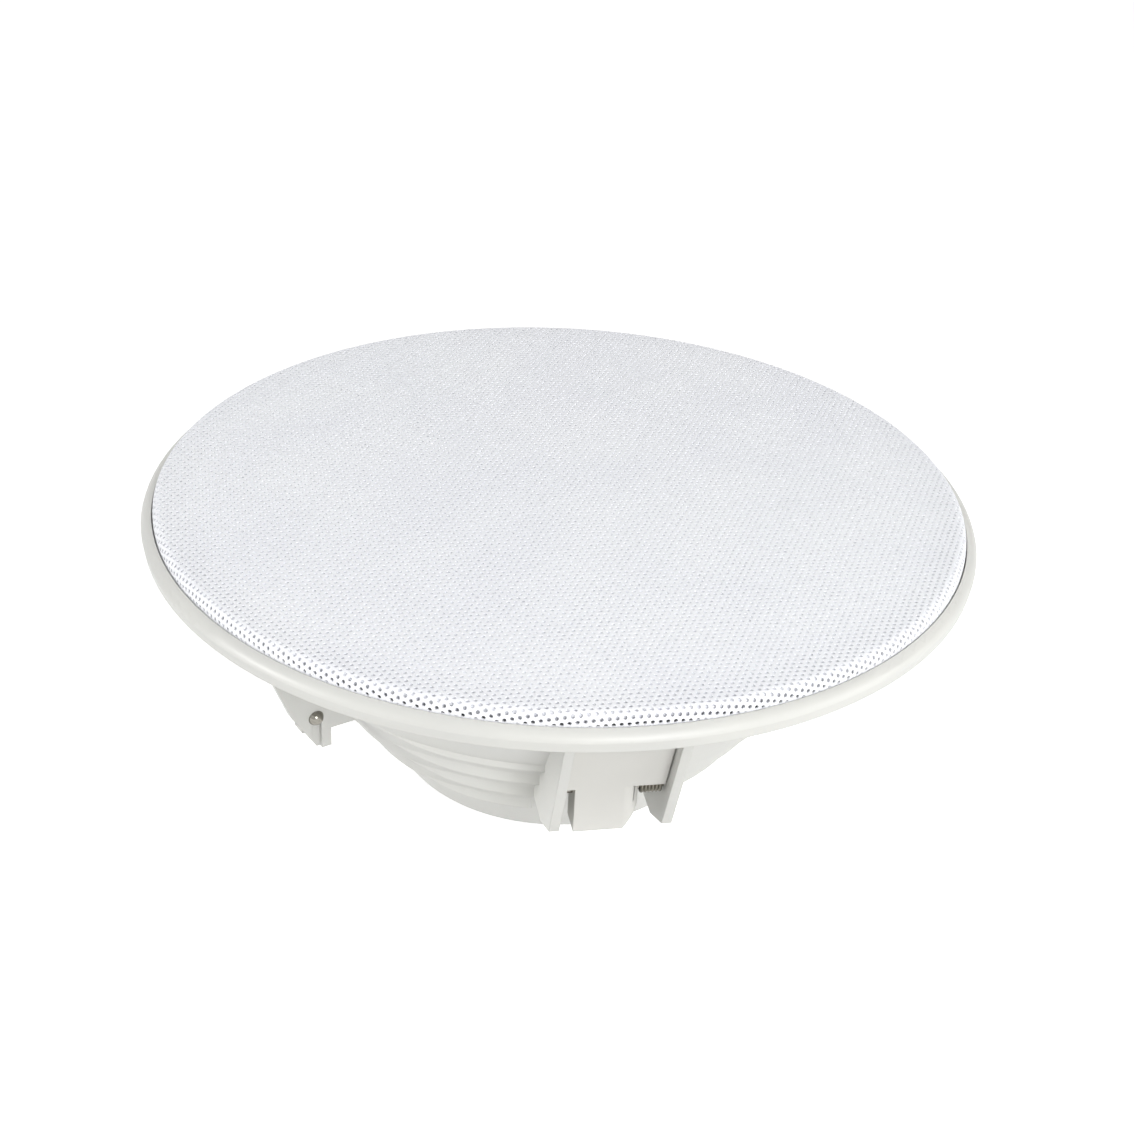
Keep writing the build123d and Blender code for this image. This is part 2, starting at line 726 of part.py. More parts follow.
def make_woofer_chassis():
    """Pressed steel basket: rim, windowed side, spider shelf, drum and back plate seat."""
    shelf_z = -WOOFER_SHELF_DEPTH
    back_z = -WOOFER_BACK_DEPTH
    body = ring(WOOFER_MOUTH_R, WOOFER_R, BAFFLE_TOP, WOOFER_TOP)
    body += cone_shell(WOOFER_MOUTH_R, WOOFER_TOP, WOOFER_SHELF_R, shelf_z, WOOFER_SIDE_T)
    middle = (WOOFER_MOUTH_R + WOOFER_SHELF_R) / 2
    low = shelf_z + WOOFER_WINDOW_MARGIN
    high = BAFFLE_TOP - WOOFER_WINDOW_MARGIN
    for azimuth in around(WOOFER_WINDOWS, WOOFER_WINDOW_TURN):
        window = block(middle / 2, WOOFER_R, -WOOFER_WINDOW_W / 2, WOOFER_WINDOW_W / 2, low, high)
        body -= turn(azimuth, window)
    body += ring(WOOFER_DRUM_R, WOOFER_SHELF_R + WOOFER_SIDE_T, shelf_z - WOOFER_SHEET, shelf_z)
    body += ring(WOOFER_DRUM_R, WOOFER_DRUM_R + WOOFER_SHEET, back_z, shelf_z)
    body += ring(FORMER_R + COIL_T + PLATE_GAP, WOOFER_DRUM_R + WOOFER_SHEET, back_z - WOOFER_SHEET, back_z)
    for azimuth in WOOFER_SCREW_AZIMUTHS + BRIDGE_AZIMUTHS:
        body -= screw_hole(WOOFER_SCREW_R, azimuth, BAFFLE_TOP, WOOFER_TOP)
    return body


def make_surround():
    """Half-roll rubber surround with its outer lip on the chassis rim."""
    t = SURROUND_T
    r0 = CONE_EDGE_R + EDGE_GAP
    r1 = r0 + 2 * SURROUND_ROLL_R
    z = WOOFER_TOP
    middle = (r0 + r1) / 2
    roll = turned([
        ThreePointArc((r0, z), (middle, z + SURROUND_ROLL_R), (r1, z)),
        Line((r1, z), (r1 - t, z)),
        ThreePointArc((r1 - t, z), (middle, z + SURROUND_ROLL_R - t), (r0 + t, z)),
        Line((r0 + t, z), (r0, z)),
    ])
    return roll + ring(r1 - t, SURROUND_LIP_R, z, z + t)


def make_surround_gasket():
    """Pad ring that presses the lip of the surround to the rim."""
    z = WOOFER_TOP + SURROUND_T
    return ring(GASKET_R, SURROUND_LIP_R, z, z + GASKET_T)


def cone_line(rim_z, neck_z):
    """Slightly flared line of the paper cone, from its rim to its neck."""
    rim = (CONE_EDGE_R - CONE_RIM_W, rim_z)
    neck = (FORMER_R, neck_z)
    flare = (rim[0] - neck[0]) / 20
    return ThreePointArc(rim, ((rim[0] + neck[0]) / 2 - flare, (rim_z + neck_z) / 2 + flare), neck)


def make_cone():
    """Paper cone with a flat rim, glued to the former at its neck."""
    low = WOOFER_TOP
    high = low + CONE_SHEET
    neck_low = -CONE_NECK_DEPTH - 2 * CONE_SHEET
    bend_r = CONE_EDGE_R - CONE_RIM_W
    return turned([
        Polyline((bend_r, low), (CONE_EDGE_R, low), (CONE_EDGE_R, high), (bend_r, high)),
        cone_line(high, -CONE_NECK_DEPTH),
        Line((FORMER_R, -CONE_NECK_DEPTH), (FORMER_R, neck_low)),
        cone_line(low, neck_low),
    ])


def make_dust_cap():
    """Dome that closes the neck, its edge glued on the face of the cone."""
    line = cone_line(WOOFER_TOP + CONE_SHEET, -CONE_NECK_DEPTH)
    outer = line @ DUST_CAP_SEAT_RATIO
    inner = line @ (DUST_CAP_SEAT_RATIO + DUST_CAP_EDGE_RATIO)
    edge_out = (outer.X, outer.Y + GLUE)
    edge_in = (inner.X, inner.Y + GLUE)
    top = outer.Y + DUST_CAP_H
    return turned([
        dome(outer.X, edge_out[1], top - edge_out[1]),
        Line((0, top), (0, top - CONE_SHEET)),
        dome(inner.X, edge_in[1], top - CONE_SHEET - edge_in[1]),
        Line(edge_in, edge_out),
    ])


def make_voice_coil_former():
    return ring(COIL_BORE_R, FORMER_R, -FORMER_DEPTH, -CONE_NECK_DEPTH)


def make_voice_coil():
    middle = PLATE_Z - FRONT_PLATE_T / 2
    return ring(FORMER_R, FORMER_R + COIL_T, middle - COIL_H / 2, middle + COIL_H / 2)


def make_spider():
    """Corrugated centring disc between the former and the shelf."""
    r0 = FORMER_R + SPIDER_GAP
    r1 = WOOFER_SHELF_R - SPIDER_GAP
    z = -WOOFER_SHELF_DEPTH
    wave_start = r0 + 2
    wave_end = WOOFER_DRUM_R
    pitch = (wave_end - wave_start) / (2 * SPIDER_WAVES)
    upper = [(r1, z + SPIDER_T), (wave_end, z + SPIDER_T)]
    for i in range(2 * SPIDER_WAVES - 1):
        side = SPIDER_WAVE if i % 2 == 0 else 0
        upper.append((wave_end - (i + 1) * pitch, z + side + SPIDER_T))
    upper += [(wave_start, z + SPIDER_T), (r0, z + SPIDER_T)]
    lower = [(r, h - SPIDER_T) for r, h in reversed(upper)]
    return turned(upper + lower)


def make_front_plate():
    return ring(FORMER_R + COIL_T + PLATE_GAP, FRONT_PLATE_R, MAGNET_Z, PLATE_Z)


def make_magnet():
    return ring(MAGNET_BORE_R, MAGNET_R, YOKE_Z, MAGNET_Z)


def make_back_plate():
    """Back plate with its pole, which stands inside the voice coil."""
    return disc(BACK_PLATE_R, YOKE_Z - BACK_PLATE_T, YOKE_Z) + disc(COIL_BORE_R - POLE_GAP, YOKE_Z, PLATE_Z)


# Tweeter


def make_tweeter_bridge():
    """Bar over the woofer with two feet on the rim and a ring for the tweeter."""
    half = BRIDGE_W / 2
    reach = WOOFER_R
    bar = block(-reach, reach, -half, half, BRIDGE_Z, BRIDGE_Z + BRIDGE_T)
    for side in (0, 180):
        bar += turn(side, block(reach - BRIDGE_FOOT, reach, -half, half, WOOFER_TOP, BRIDGE_Z))
    bar += disc(BRIDGE_RING_R, BRIDGE_Z, BRIDGE_Z + BRIDGE_T)
    bar &= disc(reach, WOOFER_TOP, BRIDGE_Z + BRIDGE_T)
    bar -= disc(TWEETER_R + TWEETER_FIT, BRIDGE_Z, BRIDGE_Z + BRIDGE_T)
    for azimuth in BRIDGE_AZIMUTHS:
        bar -= screw_hole(WOOFER_SCREW_R, azimuth, WOOFER_TOP, BRIDGE_Z + BRIDGE_T)
    return bar


TWEETER_SEAT = BRIDGE_Z + BRIDGE_T
TWEETER_TOP = TWEETER_SEAT + TWEETER_FLANGE_T


def make_tweeter_housing():
    """Cup with a flange that lies on the bridge."""
    body = disc(TWEETER_R, TWEETER_TOP - TWEETER_H, TWEETER_TOP)
    body += disc(TWEETER_FLANGE_R, TWEETER_SEAT, TWEETER_TOP)
    return body - disc(TWEETER_R - TWEETER_WALL, TWEETER_TOP - TWEETER_H + TWEETER_WALL, TWEETER_TOP)


def make_tweeter_magnet():
    floor = TWEETER_TOP - TWEETER_H + TWEETER_WALL
    return disc(TWEETER_MAGNET_R, floor, floor + TWEETER_MAGNET_T)


def make_tweeter_dome():
    """Film dome with a flat collar in the mouth of the cup."""
    z = TWEETER_TOP - TWEETER_DOME_DROP
    t = TWEETER_DOME_T
    r = TWEETER_DOME_R
    edges = [
        dome(r, z, TWEETER_DOME_H),
        Line((0, z + TWEETER_DOME_H), (0, z + TWEETER_DOME_H - t)),
        dome(r - t, z, TWEETER_DOME_H - t),
        Line((r - t, z), (r, z)),
    ]
    return turned(edges) + ring(r - t, TWEETER_R - TWEETER_WALL, z - t, z)


# Crossover


def make_crossover_board():
    body = block(-BOARD_L / 2, BOARD_L / 2, -BOARD_W / 2, BOARD_W / 2, BOARD_Z, BOARD_Z + BOARD_T)
    for x in (BOARD_L / 2 - POST_INSET, POST_INSET - BOARD_L / 2):
        for y in (BOARD_W / 2 - POST_INSET, POST_INSET - BOARD_W / 2):
            body -= Pos(x, y, 0) * disc(PEG_R + PEG_FIT, BOARD_Z, BOARD_Z + BOARD_T)
    return body


def make_inductor():
    top = BOARD_Z + BOARD_T
    return Pos(-INDUCTOR_X, 0, 0) * ring(INDUCTOR_BORE_R, INDUCTOR_R, top, top + INDUCTOR_H)


def make_capacitor():
    top = BOARD_Z + BOARD_T
    half_l = CAPACITOR_L / 2
    half_w = CAPACITOR_W / 2
    body = block(-half_l, half_l, -half_w, half_w, top, top + CAPACITOR_H)
    body = Pos(CAPACITOR_X, CAPACITOR_Y, 0) * body
    return fillet(body.edges().filter_by(Axis.Z), CAPACITOR_W / 8)


def make_resistor():
    top = BOARD_Z + BOARD_T
    body = Pos(CAPACITOR_X - RESISTOR_L / 2, -RESISTOR_Y, top + RESISTOR_R) * Rot(0, 90, 0)
    return body * Cylinder(RESISTOR_R, RESISTOR_L, align=(Align.CENTER, Align.CENTER, Align.MIN))


# Terminals


def make_terminal_block():
    """Two-way block on the pad, with a wire way and a screw way for each wire."""
    half = BLOCK_L / 2
    body = block(PAD_FACE, PAD_FACE + BLOCK_T, -half, half, PAD_MID_Z - BLOCK_H / 2, PAD_MID_Z + BLOCK_H / 2)
    body = fillet(body.edges().filter_by(Axis.X), BLOCK_H / 8)
    body -= wire_holes(PAD_FACE, PAD_FACE + BLOCK_T)
    for x, y in terminal_places():
        body -= Pos(x, y, 0) * disc(TERMINAL_SCREW_D / 2 + SCREW_FIT, PAD_MID_Z, PAD_MID_Z + BLOCK_H / 2)
    return turn(TERMINAL_AZIMUTH, body)


def terminal_places():
    """Places of the wire screws, over each wire way."""
    x = PAD_FACE + BLOCK_T / 2
    return [(x, (i - (WIRE_WAYS - 1) / 2) * WIRE_PITCH) for i in range(WIRE_WAYS)]


def make_terminal_screws():
    """Slotted headless screws that press the wires."""
    top = PAD_MID_Z + BLOCK_H / 2
    r = TERMINAL_SCREW_D / 2
    body = disc(r, top - TERMINAL_SCREW_H, top)
    body -= block(-DRIVE_SLOT_W / 2, DRIVE_SLOT_W / 2, -r, r, top - DRIVE_SLOT_DEPTH, top)
    return group([turn(TERMINAL_AZIMUTH, Pos(x, y, 0) * body) for x, y in terminal_places()])


PIECES = {
    "housing": make_housing,
    "grille": make_grille,
    "grille_cloth": make_grille_cloth,
    "baffle_ring": make_baffle_ring,
    "baffle_screws": make_baffle_screws,
    "woofer_chassis": make_woofer_chassis,
    "woofer_screws": make_woofer_screws,
    "surround": make_surround,
    "surround_gasket": make_surround_gasket,
    "cone": make_cone,
    "dust_cap": make_dust_cap,
    "voice_coil_former": make_voice_coil_former,
    "voice_coil": make_voice_coil,
    "spider": make_spider,
    "front_plate": make_front_plate,
    "magnet": make_magnet,
    "back_plate": make_back_plate,
    "tweeter_bridge": make_tweeter_bridge,
    "bridge_screws": make_bridge_screws,
    "tweeter_housing": make_tweeter_housing,
    "tweeter_magnet": make_tweeter_magnet,
    "tweeter_dome": make_tweeter_dome,
    "crossover_board": make_crossover_board,
    "inductor": make_inductor,
    "capacitor": make_capacitor,
    "resistor": make_resistor,
    "terminal_block": make_terminal_block,
    "terminal_screws": make_terminal_screws,
}

CLAMP_PIECES = {
    "clamp_lever": make_clamp_lever,
    "clamp_pin": make_clamp_pin,
    "clamp_spring": make_clamp_spring,
}


def main():
    os.makedirs("parts", exist_ok=True)
    for name, make in PIECES.items():
        export_step(make(), f"parts/{name}.step")
    for name, make in CLAMP_PIECES.items():
        for number, (azimuth, left) in enumerate(CLAMPS, 1):
            export_step(turn(azimuth, make(left)), f"parts/{name}_{number}.step")


main()
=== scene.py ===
from math import asin, atan2, cos, degrees, hypot, pi, radians, sin, sqrt

import bmesh
import bpy
from mathutils import Matrix, Vector


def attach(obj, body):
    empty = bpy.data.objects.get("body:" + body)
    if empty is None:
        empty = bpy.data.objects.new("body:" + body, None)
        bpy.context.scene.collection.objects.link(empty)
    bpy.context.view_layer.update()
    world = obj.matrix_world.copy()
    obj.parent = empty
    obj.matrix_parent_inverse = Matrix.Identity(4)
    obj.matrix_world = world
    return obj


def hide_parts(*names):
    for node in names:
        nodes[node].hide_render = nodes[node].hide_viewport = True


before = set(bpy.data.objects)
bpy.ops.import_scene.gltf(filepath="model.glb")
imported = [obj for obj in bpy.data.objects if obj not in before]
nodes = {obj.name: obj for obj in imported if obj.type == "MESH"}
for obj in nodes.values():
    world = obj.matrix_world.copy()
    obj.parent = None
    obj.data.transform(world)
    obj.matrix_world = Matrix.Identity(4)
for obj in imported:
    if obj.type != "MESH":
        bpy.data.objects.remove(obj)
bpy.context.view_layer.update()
MM = 0.001

# Sizes of the grille sheet and its cloth, in millimetres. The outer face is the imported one
HOLE_PITCH = 2.0
HOLE_WIDTH = 1.04
HOLE_ROWS_TURN = 12
ROW_STEP = HOLE_PITCH * sqrt(3) / 2
SHEET = 0.5
GRILLE_R = 121.4
GRILLE_ROLL = 2.8
GRILLE_TOP = 9.1
GRILLE_DOME = 1.5
SKIRT_LOW = 2.5
LAST_ROW = 124.9
FIELD_SPLITS = (72.0, 101.0)
LATTICE_COLUMNS = (8, 4, 4)
LATTICE_ROW_PAIRS = (5, 5, 3)
LATTICE_CORNER = (-64, -74)
HEM_INSET = 0.02
CLOTH_DROP = 0.52
CLOTH_T = 0.3
CLOTH_EDGE = ((119.6, 0.55), (120.8, 0.75), (122.2, 1.2), (124.0, 1.8))

# Sizes of the conical wall's terraces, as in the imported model
CONE_TOP_R = 108.9
CONE_SLOPE = 0.7265
TERRACE_DEPTHS = (36.4, 46.27, 56.14, 66.01)
TERRACE_STEP = 2.2
TERRACE_FOOT = 0.5

# A terrace's flared lip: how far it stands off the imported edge, and how high above it. Round the
# wall it begins sunk, so many degrees before a wide bracket's middle, and ends inside its fin
FLARE_SECTION = (
    (3.4, 8.3),
    (2.9, 6.5),
    (2.5, 5.1),
    (2.35, 4.0),
    (2.3, 3.0),
    (2.45, 2.2),
    (2.6, 1.55),
    (2.5, 1.2),
)
FLARE_TOP_T = 0.17
FLARE_FOOT_T = 2.3
FLARE_SINK = 2.1
FLARE_FADE = 26.0
FLARE_SPAN = 54.6
FLARE_END = 15.8

# The wide brackets' numbers and azimuths, and the plate that their packed levers carry in front
# of the spring, with the bracket's middle turned to the x axis
WIDE_BRACKETS = ((2, 281.4), (4, 101.4))
PLATE_BACK = 94.6
PLATE_LEFT = 5.5
PLATE_LOW = -38.9
PLATE_TOP = -32.9
NEAR = 0.01

# The photograph's camera: its place, and how far it looks down and rolls, in radians
CAMERA_SPOT = (2.854, -493.385, 269.69)
CAMERA_RISE = 0.531
CAMERA_ROLL = 0.0537
CAMERA_LENS = 58.48

FLOOR_Z = -84.15
FLOOR_HALF = 6000

# Light that the surround gives the object, and the floor's own glow as the camera sees it
SURROUND = 0.31
FLOOR_GLOW = 0.65


def linear(hex_colour):
    """Colour of a swatch given as sRGB hex, as linear red, green, blue and alpha."""
    parts = [int(hex_colour[i:i + 2], 16) / 255 for i in (1, 3, 5)]
    return [p / 12.92 if p <= 0.04045 else ((p + 0.055) / 1.055) ** 2.4 for p in parts] + [1.0]


# Camera at the photograph's place


def make_camera():
    """Long-lens view down on the front, rolled a little."""
    rise, roll = CAMERA_RISE, CAMERA_ROLL
    data = bpy.data.cameras.new("camera")
    data.sensor_width = 36.0
    data.lens = CAMERA_LENS
    data.clip_start = 0.02
    data.clip_end = 20.0
    camera = bpy.data.objects.new("camera", data)
    right = Vector((cos(roll), sin(roll) * sin(rise), sin(roll) * cos(rise)))
    up = Vector((-sin(roll), cos(roll) * sin(rise), cos(roll) * cos(rise)))
    back = Vector((0, -cos(rise), sin(rise)))
    turn = Matrix((right, up, back)).transposed().to_4x4()
    camera.matrix_world = Matrix.Translation(Vector(CAMERA_SPOT) * MM) @ turn
    bpy.context.scene.collection.objects.link(camera)
    bpy.context.scene.camera = camera


make_camera()


# Materials


def add(material, kind, links=None, **settings):
    """Adds a node to a material. links gives each socket a value or the socket that feeds it."""
    node = material.node_tree.nodes.new(kind)
    for name, value in settings.items():
        setattr(node, name, value)
    for socket, value in (links or {}).items():
        if isinstance(value, bpy.types.NodeSocket):
            material.node_tree.links.new(value, node.inputs[socket])
        else:
            node.inputs[socket].default_value = value
    return node


def new_material(name, **sockets):
    """A material with one shader, its even values set on the shader's own sockets."""
    material = bpy.data.materials.new(name)
    material.use_nodes = True
    material.node_tree.nodes.clear()
    values = {name.replace("_", " "): value for name, value in sockets.items()}
    shader = add(material, "ShaderNodeBsdfPrincipled", values)
    add(material, "ShaderNodeOutputMaterial", {"Surface": shader.outputs[0]})
    return material, shader


def place_in(material, stretch=(1, 1, 1)):
    """Place on the piece, in metres, stretched or as it is."""
    spot = add(material, "ShaderNodeTexCoord").outputs["Object"]
    links = {"Vector": spot, "Scale": stretch}
    return add(material, "ShaderNodeMapping", links).outputs[0]


def grain(material, place, size_mm, detail=2.0):
    """Cloudy noise whose lumps are about size_mm across."""
    links = {"Vector": place, "Scale": 1 / (size_mm * MM), "Detail": detail}
    return add(material, "ShaderNodeTexNoise", links).outputs[0]


def tint(material, shader, noise, low, high, start=0.35, end=0.65):
    """Base colour that wanders between two swatches."""
    ramp = add(material, "ShaderNodeValToRGB", {"Fac": noise})
    ramp.color_ramp.elements[0].position = start
    ramp.color_ramp.elements[0].color = linear(low)
    ramp.color_ramp.elements[1].position = end
    ramp.color_ramp.elements[1].color = linear(high)
    material.node_tree.links.new(ramp.outputs[0], shader.inputs["Base Color"])


def sheen_range(material, shader, noise, low, high):
    """Roughness that wanders between two values."""
    links = {"Value": noise, "From Min": 0.3, "From Max": 0.7, "To Min": low, "To Max": high}
    span = add(material, "ShaderNodeMapRange", links)
    material.node_tree.links.new(span.outputs[0], shader.inputs["Roughness"])


def relief(material, shader, height, depth_mm, round_mm=0.0):
    """Bump of a real depth, over edges that look rounded by round_mm."""
    links = {"Height": height, "Distance": depth_mm * MM, "Strength": 1.0}
    if round_mm:
        links["Normal"] = add(material, "ShaderNodeBevel", {"Radius": round_mm * MM}, samples=6).outputs[0]
    bump = add(material, "ShaderNodeBump", links)
    material.node_tree.links.new(bump.outputs[0], shader.inputs["Normal"])


def moulded(name, low, high, roughness, spark_mm=0.5, depth_mm=0.006, round_mm=0.3):
    """Thermoplastic from a spark-eroded mould: fine even grain, soft gloss, edges slightly rounded."""
    material, shader = new_material(name, IOR=1.54)
    place = place_in(material)
    broad = grain(material, place, 40.0)
    fine = grain(material, place, spark_mm, 1.0)
    tint(material, shader, broad, low, high)
    sheen_range(material, shader, broad, roughness - 0.03, roughness + 0.05)
    relief(material, shader, fine, depth_mm, round_mm)
    return material


def plated(name, low, high, roughness, scratch_mm=0.6, depth_mm=0.003, round_mm=0.15):
    """Bare or plated metal with fine drawn marks."""
    material, shader = new_material(name, Metallic=1.0)
    place = place_in(material, stretch=(1, 1, 6))
    marks = grain(material, place, scratch_mm, 3.0)
    tint(material, shader, marks, low, high)
    sheen_range(material, shader, marks, roughness - 0.05, roughness + 0.08)
    relief(material, shader, marks, depth_mm, round_mm)
    return material


def coated(name, low, high, roughness, peel_mm=0.9, depth_mm=0.01, round_mm=0.15):
    """Powder coat baked on steel: the faint orange peel of a thick matt film."""
    material, shader = new_material(name, IOR=1.5)
    place = place_in(material)
    peel = grain(material, place, peel_mm, 1.0)
    tint(material, shader, grain(material, place, 30.0), low, high)
    sheen_range(material, shader, peel, roughness - 0.04, roughness + 0.04)
    relief(material, shader, peel, depth_mm, round_mm)
    return material


def woven(name, thread_mm, low, high, depth_mm, roughness=0.9, sheen=0.3):
    """Plain weave: two crossed sets of threads, dark in the gaps between them."""
    material, shader = new_material(name, Roughness=roughness, Sheen_Weight=sheen, Sheen_Roughness=0.5)
    place = place_in(material)
    threads = []
    for direction in ("X", "Y"):
        links = {"Vector": place, "Scale": 1 / (20 * thread_mm * MM)}
        links |= {"Distortion": 0.4, "Detail": 1.0, "Detail Scale": 3.0}
        wave = add(material, "ShaderNodeTexWave", links, bands_direction=direction)
        threads.append(wave.outputs["Fac"])
    links = {0: threads[0], 1: threads[1]}
    weave = add(material, "ShaderNodeMath", links, operation="MAXIMUM").outputs[0]
    tint(material, shader, weave, low, high, 0.2, 0.9)
    relief(material, shader, weave, depth_mm)
    return material


def turned_metal(name, low, high, roughness, groove_mm=0.5, depth_mm=0.004, metallic=1.0):
    """Metal faced on a lathe: fine rings round the axis."""
    material, shader = new_material(name, Metallic=metallic)
    place = place_in(material)
    rings = add(
        material,
        "ShaderNodeTexWave",
        {"Vector": place, "Scale": 1 / (20 * groove_mm * MM), "Distortion": 1.0, "Detail": 2.0},
        wave_type="RINGS",
        rings_direction="Z",
    ).outputs["Fac"]
    tint(material, shader, grain(material, place, 6.0, 4.0), low, high)
    sheen_range(material, shader, rings, roughness - 0.05, roughness + 0.1)
    relief(material, shader, rings, depth_mm, 0.15)
    return material


# White ABS, injection moulded in a fine spark-eroded tool: off-white with a broad soft gloss
housing_abs = moulded("housing_abs_moulded", "#cdcdc9", "#d2d2cd", 0.40)

# The levers come from the same resin in another tool, a little more matt
lever_abs = moulded("lever_abs_moulded", "#cbcac5", "#d0cfca", 0.46)

# White powder coat on perforated steel: matt, cool white beside the ABS
grille_coat = coated("grille_powder_coat", "#f3f4f8", "#f6f7fa", 0.55, 0.6, 0.006, 0.0)

# Thin polyester backing cloth, plain woven with 0.4 mm threads: white with dull gaps in the holes
backing_cloth = woven("grille_cloth_polyester", 0.4, "#dfe0e8", "#f0f1f6", 0.05)

# Polished and oiled steel of the pivot pins: it mirrors the shade behind the flange, and its base colour is
# kept darker than bare steel as a painted dark reflection on the heads
pin_steel_painted_dark = plated("pin_steel_polished", "#8a877f", "#99968e", 0.12, 0.8, 0.001, 0.0)

# Hard-drawn spring wire, dark from oil
spring_wire = plated("spring_wire_drawn", "#6e6b62", "#7f7c72", 0.32, 0.4, 0.003, 0.0)

# Steel screws of the terminals, zinc plated: pale grey with a dull shine
terminal_zinc = plated("terminal_screw_zinc", "#b9b8b2", "#c9c8c3", 0.28)

# Black powder coat on pressed steel: near black, with a faint orange peel
chassis_coat = coated("chassis_powder_coat", "#17171a", "#1e1e21", 0.5)

# Black ABS of the inner mouldings, spark finished: near black with a soft gloss
inner_abs = moulded("inner_abs_black", "#1b1b1c", "#222223", 0.5)

# Glass-filled nylon of the terminal block, injection moulded: a little greyer and rougher
terminal_nylon = moulded("terminal_nylon_black", "#1d1d1f", "#252527", 0.42, 0.4, 0.008, 0.2)

# Pressed paper pulp of the cone: fibres lie every way and leave it quite matt
cone_pulp, shader = new_material("cone_paper_pulp", IOR=1.45)
place = place_in(cone_pulp)
fibre = grain(cone_pulp, place, 1.2, 6.0)
tint(cone_pulp, shader, fibre, "#1c1b1a", "#2b2a28")
sheen_range(cone_pulp, shader, fibre, 0.75, 0.9)
relief(cone_pulp, shader, fibre, 0.05)

# Butyl rubber, moulded: dull black with a faint bloom
butyl, shader = new_material("surround_butyl_rubber", IOR=1.52)
place = place_in(butyl)
bloom = grain(butyl, place, 7.0, 3.0)
tint(butyl, shader, bloom, "#161617", "#202021")
sheen_range(butyl, shader, bloom, 0.6, 0.72)
relief(butyl, shader, grain(butyl, place, 0.5), 0.01)

# Cotton cloth stiffened with resin and hot pressed into waves: amber, with the weave in view
spider_cotton = woven("spider_cotton_resin", 0.5, "#7c5a26", "#b78b45", 0.1, 0.6, 0.1)

# Enamelled copper wire in close layers: ribs one wire apart
copper_wire, shader = new_material(
    "winding_enamelled_copper", Metallic=1.0, Coat_Weight=0.5, Coat_Roughness=0.15
)
place = place_in(copper_wire)
ribs = add(
    copper_wire,
    "ShaderNodeTexWave",
    {"Vector": place, "Scale": 1 / (20 * 0.4 * MM), "Distortion": 0.2},
    bands_direction="Z",
).outputs["Fac"]
tint(copper_wire, shader, ribs, "#7a3b1c", "#c0713d")
sheen_range(copper_wire, shader, ribs, 0.25, 0.4)
relief(copper_wire, shader, ribs, 0.1)

# Aluminium foil rolled to a tube: pale metal with fine drawn marks
former_foil = plated("former_aluminium_foil", "#c3c4c6", "#d3d4d6", 0.3)

# Low-carbon steel faced on a lathe and zinc plated: fine rings in a pale shine
motor_steel = turned_metal("motor_steel_zinc", "#a8a79f", "#bdbcb5", 0.35)

# Sintered ferrite, ground: dark, stony and dull
ferrite, shader = new_material("magnet_ferrite_ground", IOR=2.2)
place = place_in(ferrite)
stone = grain(ferrite, place, 0.8, 5.0)
tint(ferrite, shader, stone, "#28282a", "#37373a")
sheen_range(ferrite, shader, stone, 0.45, 0.65)
relief(ferrite, shader, stone, 0.02, 0.2)

# Thin film formed to a dome: faint amber gloss
dome_film, shader = new_material("tweeter_film_formed", IOR=1.6, Coat_Weight=0.3)
place = place_in(dome_film)
haze = grain(dome_film, place, 3.0)
tint(dome_film, shader, haze, "#b9a97f", "#c9bb95")
sheen_range(dome_film, shader, haze, 0.2, 0.3)

# Glass-filled board under green solder mask, the weave faint under the gloss
board_laminate = woven("board_glass_laminate", 0.9, "#1e5a33", "#24693c", 0.01, 0.35, 0.0)

# Film capacitor dipped in epoxy: glossy red-brown with soft lumps
capacitor_epoxy = moulded("capacitor_dipped_epoxy", "#8c2f1d", "#9c3a26", 0.25, 2.0, 0.02)

# Resistor cast in white cement: chalky with small pits
resistor_cement, shader = new_material("resistor_cast_cement", IOR=1.5)
place = place_in(resistor_cement)
pits = grain(resistor_cement, place, 0.7, 4.0)
tint(resistor_cement, shader, pits, "#cdc9bd", "#dedbd1")
sheen_range(resistor_cement, shader, pits, 0.8, 0.95)
relief(resistor_cement, shader, pits, 0.05)


def dress(material, *names):
    """Gives CAD nodes their finish."""
    for name in names:
        mesh = nodes[name].data
        mesh.materials.clear()
        mesh.materials.append(material)


NUMBERS = (1, 2, 3, 4)
dress(housing_abs, "housing")
dress(lever_abs, *[f"clamp_lever_{n}" for n in NUMBERS])
# The pins' steel carries a painted dark reflection in its darkened base colour
dress(pin_steel_painted_dark, *[f"clamp_pin_{n}" for n in NUMBERS])
dress(spring_wire, *[f"clamp_spring_{n}" for n in NUMBERS])
dress(grille_coat, "grille")
dress(terminal_nylon, "terminal_block")
dress(terminal_zinc, "terminal_screws")
dress(chassis_coat, "woofer_chassis", "woofer_screws", "baffle_screws", "bridge_screws")
dress(inner_abs, "baffle_ring", "tweeter_bridge", "tweeter_housing")
dress(cone_pulp, "cone", "dust_cap")
dress(butyl, "surround", "surround_gasket")
dress(spider_cotton, "spider")
dress(copper_wire, "voice_coil", "inductor")
dress(former_foil, "voice_coil_former")
dress(motor_steel, "front_plate", "back_plate", "tweeter_magnet")
dress(ferrite, "magnet")
dress(dome_film, "tweeter_dome")
dress(board_laminate, "crossover_board")
dress(capacitor_epoxy, "capacitor")
dress(resistor_cement, "resistor")


def piece_from(bm, name, material):
    """Turns a bmesh, in millimetres, into a piece with its finish."""
    bmesh.ops.scale(bm, vec=(MM, MM, MM), verts=bm.verts)
    mesh = bpy.data.meshes.new(name)
    bm.to_mesh(mesh)
    bm.free()
    mesh.materials.append(material)
    piece = bpy.data.objects.new(name, mesh)
    bpy.context.scene.collection.objects.link(piece)
    return piece


# Perforated grille


